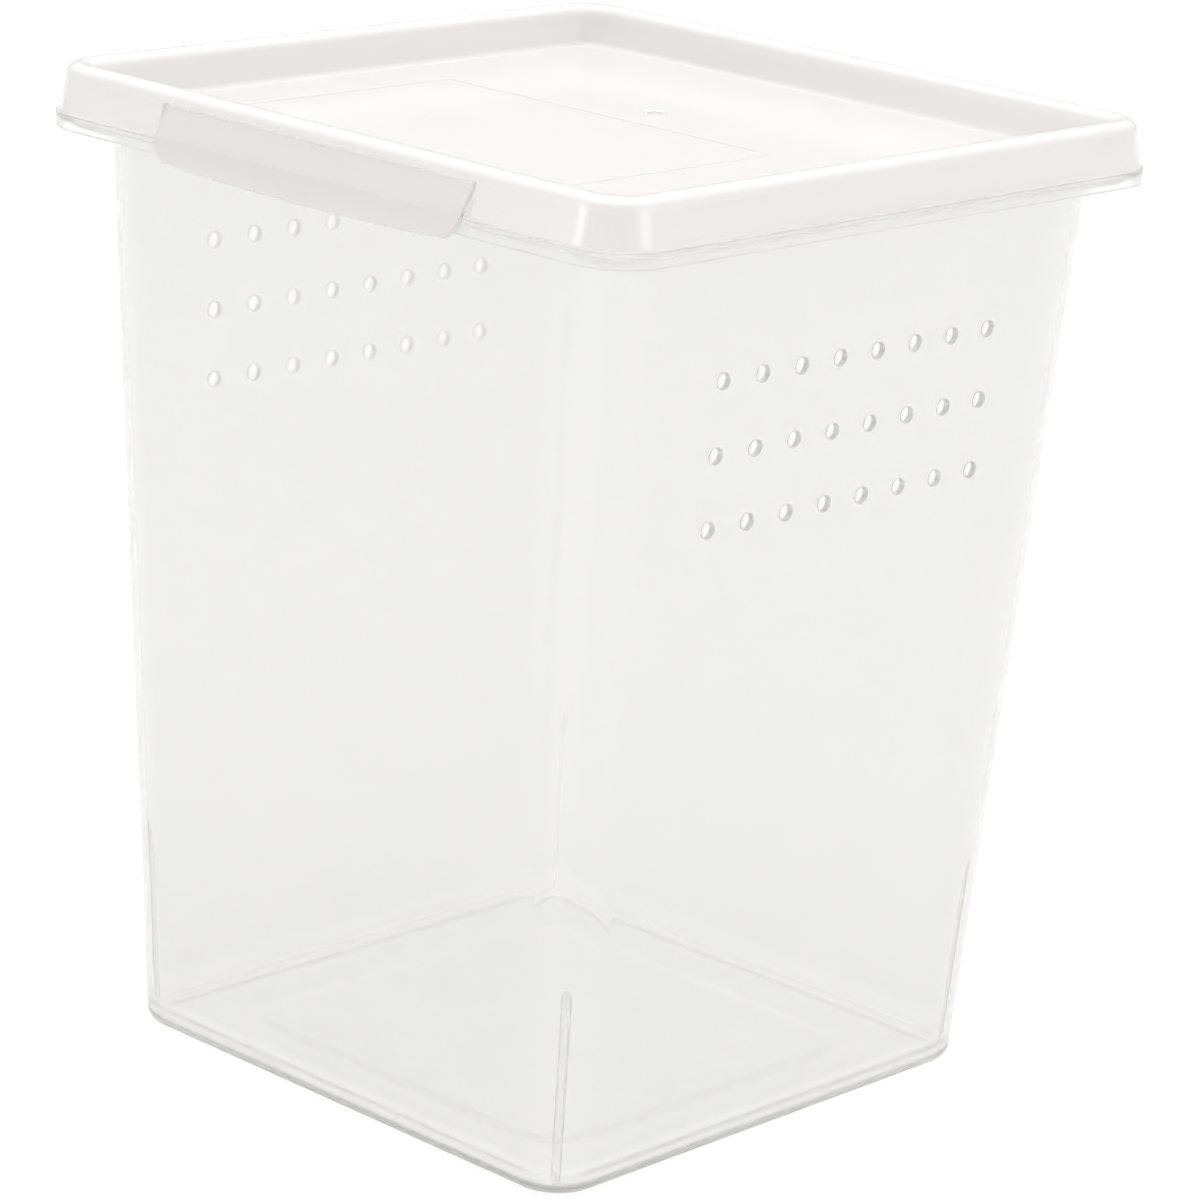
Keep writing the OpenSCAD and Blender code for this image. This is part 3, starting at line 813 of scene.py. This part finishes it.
def plasticFor(piece, look):
    # One Principled plastic with the shared finish, see-through by its transmission, open to light on its
    # way to other surfaces, and darker the longer the way through it.
    material = bpy.data.materials.new(look["name"])
    material.use_nodes = True
    nodes, links = material.node_tree.nodes, material.node_tree.links
    shader = nodes["Principled BSDF"]
    coords, group = nodes.new("ShaderNodeTexCoord"), nodes.new("ShaderNodeGroup")
    group.node_tree = finish
    links.new(coords.outputs["Object"], group.inputs["Point"])
    for socket, label in (("Edge", "edgeMask"), ("Inner", "innerMask")):
        painted = nodes.new("ShaderNodeAttribute")
        painted.attribute_name = label
        links.new(painted.outputs["Fac"], group.inputs[socket])
    for socket, key in [
        ("Clear", "clear"), ("Cloudy", "cloudy"), ("Pale Edge", "pale"), ("Painted Shade", "paintedShade"),
        ("Inner Skin", "innerSkin"),
    ]:
        group.inputs[socket].default_value = (*look[key], 1)
    for socket, key in [
        ("Edge Amount", "edgeAmount"), ("Gloss", "gloss"), ("Haze", "haze"), ("Frost", "frost"),
        ("Dull Edge", "dullEdge"), ("Scratches", "scratches"), ("Lift", "lift"),
    ]:
        group.inputs[socket].default_value = look[key]
    bump = nodes.new("ShaderNodeBump")
    bump.inputs["Strength"].default_value = look["bump"]
    bump.inputs["Distance"].default_value = finishLook["bumpDepth"]
    links.new(group.outputs["Height"], bump.inputs["Height"])
    links.new(group.outputs["Color"], shader.inputs["Base Color"])
    links.new(group.outputs["Roughness"], shader.inputs["Roughness"])
    links.new(bump.outputs["Normal"], shader.inputs["Normal"])
    shader.inputs["Transmission Weight"].default_value = look["see"]
    shader.inputs["IOR"].default_value = finishLook["refraction"]
    # light on its way to other surfaces mostly passes straight through the thin plastic
    path, either = nodes.new("ShaderNodeLightPath"), nodes.new("ShaderNodeMath")
    through = nodes.new("ShaderNodeMath")
    either.operation, through.operation = "MAXIMUM", "MULTIPLY_ADD"
    links.new(path.outputs["Is Shadow Ray"], either.inputs[0])
    links.new(path.outputs["Is Diffuse Ray"], either.inputs[1])
    links.new(either.outputs[0], through.inputs[0])
    through.inputs[1].default_value, through.inputs[2].default_value = -look["lampsThrough"], 1.0
    links.new(through.outputs[0], shader.inputs["Alpha"])
    # the plastic itself swallows a little light, so that long ways through it look darker
    swallow = nodes.new("ShaderNodeVolumeAbsorption")
    swallow.inputs["Color"].default_value = finishLook["swallowed"]
    swallow.inputs["Density"].default_value = look["density"]
    links.new(swallow.outputs[0], nodes["Material Output"].inputs["Volume"])
    piece.data.materials.append(material)


for piece in (tubShell, lidShell, pullTab):
    plasticFor(piece, plastics[piece.name])
print("stage: plastics assigned")

studio = {
    "floorSize": 12.0,  # metres
    "floorDrop": 0.3,  # the floor lies this far under the base, so that the two never share a surface
    "floorColour": (0.90, 0.90, 0.90),
    "horizon": 0.40,  # brightness of the room at eye level
    "zenith": 2.15,  # and overhead
    "zones": (  # direction, cosines where the zone begins and is full, brightness that it adds
        ((-0.508, -0.862, 0), 0.980, 0.992, 3.4),  # soft box to the left of the pull tab
        ((0.961, 0.276, 0), 0.965, 0.990, 2.1),  # and one beside the right wall
        ((-0.68, 0.73, 0), 0.30, 0.85, 0.25),  # white paper behind the keeper
        ((0.60, -0.80, 0), 0.50, 0.93, -0.25),  # the dimmer side of the room
    ),
    "zoneSqueeze": 0.6,  # heights count for this share, so that the zones stand tall
    "backdrop": 1.02,
}


def buildStudio(look):
    # A square floor just under the base, and a room whose brightness rises with the square of the height
    # and steps up or down towards a few sides. The backdrop itself is white.
    mesh = bpy.data.meshes.new("studio_floor")
    s, drop = look["floorSize"] / 2, -look["floorDrop"] * 0.001
    mesh.from_pydata([(-s, -s, drop), (s, -s, drop), (s, s, drop), (-s, s, drop)], [], [(0, 1, 2, 3)])
    floor = bpy.data.objects.new("studio_floor", mesh)
    bpy.context.scene.collection.objects.link(floor)
    paint = bpy.data.materials.new("paleFloor")
    paint.use_nodes = True
    shader = paint.node_tree.nodes["Principled BSDF"]
    shader.inputs["Base Color"].default_value = (*look["floorColour"], 1)
    shader.inputs["Roughness"].default_value = 0.9
    mesh.materials.append(paint)
    world = bpy.data.worlds.new("softRoom")
    bpy.context.scene.world = world
    world.use_nodes = True
    nodes, links = world.node_tree.nodes, world.node_tree.links
    back, coords = nodes["Background"], nodes.new("ShaderNodeTexCoord")
    split, square = nodes.new("ShaderNodeSeparateXYZ"), nodes.new("ShaderNodeMath")
    rise = nodes.new("ShaderNodeMapRange")
    square.operation = "MULTIPLY"
    links.new(coords.outputs["Generated"], split.inputs[0])
    links.new(split.outputs["Z"], square.inputs[0])
    links.new(split.outputs["Z"], square.inputs[1])
    links.new(square.outputs[0], rise.inputs[0])
    rise.inputs["To Min"].default_value, rise.inputs["To Max"].default_value = look["horizon"], look["zenith"]
    # a zone is a soft step of the cosine between its own direction and one that is squeezed in height
    squeeze, unit = nodes.new("ShaderNodeVectorMath"), nodes.new("ShaderNodeVectorMath")
    squeeze.operation, unit.operation = "MULTIPLY", "NORMALIZE"
    squeeze.inputs[1].default_value = (1, 1, look["zoneSqueeze"])
    links.new(coords.outputs["Generated"], squeeze.inputs[0])
    links.new(squeeze.outputs[0], unit.inputs[0])
    total = rise.outputs[0]
    for side, begins, full, amount in look["zones"]:
        facing, step = nodes.new("ShaderNodeVectorMath"), nodes.new("ShaderNodeMapRange")
        add = nodes.new("ShaderNodeMath")
        facing.operation, step.interpolation_type = "DOT_PRODUCT", "SMOOTHSTEP"
        facing.inputs[1].default_value = side
        links.new(unit.outputs[0], facing.inputs[0])
        links.new(facing.outputs["Value"], step.inputs[0])
        for socket, v in zip(step.inputs[1:5], (begins, full, 0, amount)):
            socket.default_value = v
        links.new(step.outputs[0], add.inputs[0])
        links.new(total, add.inputs[1])
        total = add.outputs[0]
    # the camera sees the plain backdrop, and everything else the room
    path, seen = nodes.new("ShaderNodeLightPath"), nodes.new("ShaderNodeMix")
    links.new(path.outputs["Is Camera Ray"], seen.inputs["Factor"])
    links.new(total, seen.inputs[2])
    seen.inputs[3].default_value = look["backdrop"]
    links.new(seen.outputs[0], back.inputs["Strength"])
    back.inputs["Color"].default_value = (1, 1, 1, 1)


buildStudio(studio)

cameraFit = {
    "azimuth": 42.758,
    "elevation": 16.567,
    "roll": 3.486,
    "distance": 1.15827,  # metres, and so is the target
    "target": (0.004354, 0.004737, 0.11638),
    "lens": 139.54,
    "sensor": 36,
}


def buildCamera(look):
    # The camera looks back along its azimuth and elevation at the target, then turns by the roll.
    a, e, roll = (math.radians(look[k]) for k in ("azimuth", "elevation", "roll"))
    back = np.array([math.sin(a) * math.cos(e), -math.cos(a) * math.cos(e), math.sin(e)])
    right = np.array([math.cos(a), math.sin(a), 0.0])
    up = np.cross(right, -back)
    c, s = math.cos(roll), math.sin(roll)
    acrossView, upView = right * c + up * s, up * c - right * s
    place = np.eye(4)
    place[:3, 0], place[:3, 1], place[:3, 2] = acrossView, upView, back
    place[:3, 3] = np.array(look["target"]) + back * look["distance"]
    data = bpy.data.cameras.new("photo_camera")
    data.lens, data.sensor_width = look["lens"], look["sensor"]
    camera = bpy.data.objects.new("photo_camera", data)
    camera.matrix_world = Matrix(place.tolist())
    bpy.context.scene.collection.objects.link(camera)
    bpy.context.scene.camera = camera
    data.clip_start, data.clip_end = 0.05, 30


buildCamera(cameraFit)
scene = bpy.context.scene
scene.view_settings.view_transform = "Standard"
scene.world.cycles.sampling_method = "NONE"
scene.cycles.max_bounces, scene.cycles.transmission_bounces = 14, 14
scene.cycles.transparent_max_bounces = 16
scene.cycles.diffuse_bounces, scene.cycles.glossy_bounces = 3, 8
print("stage: studio and camera placed")
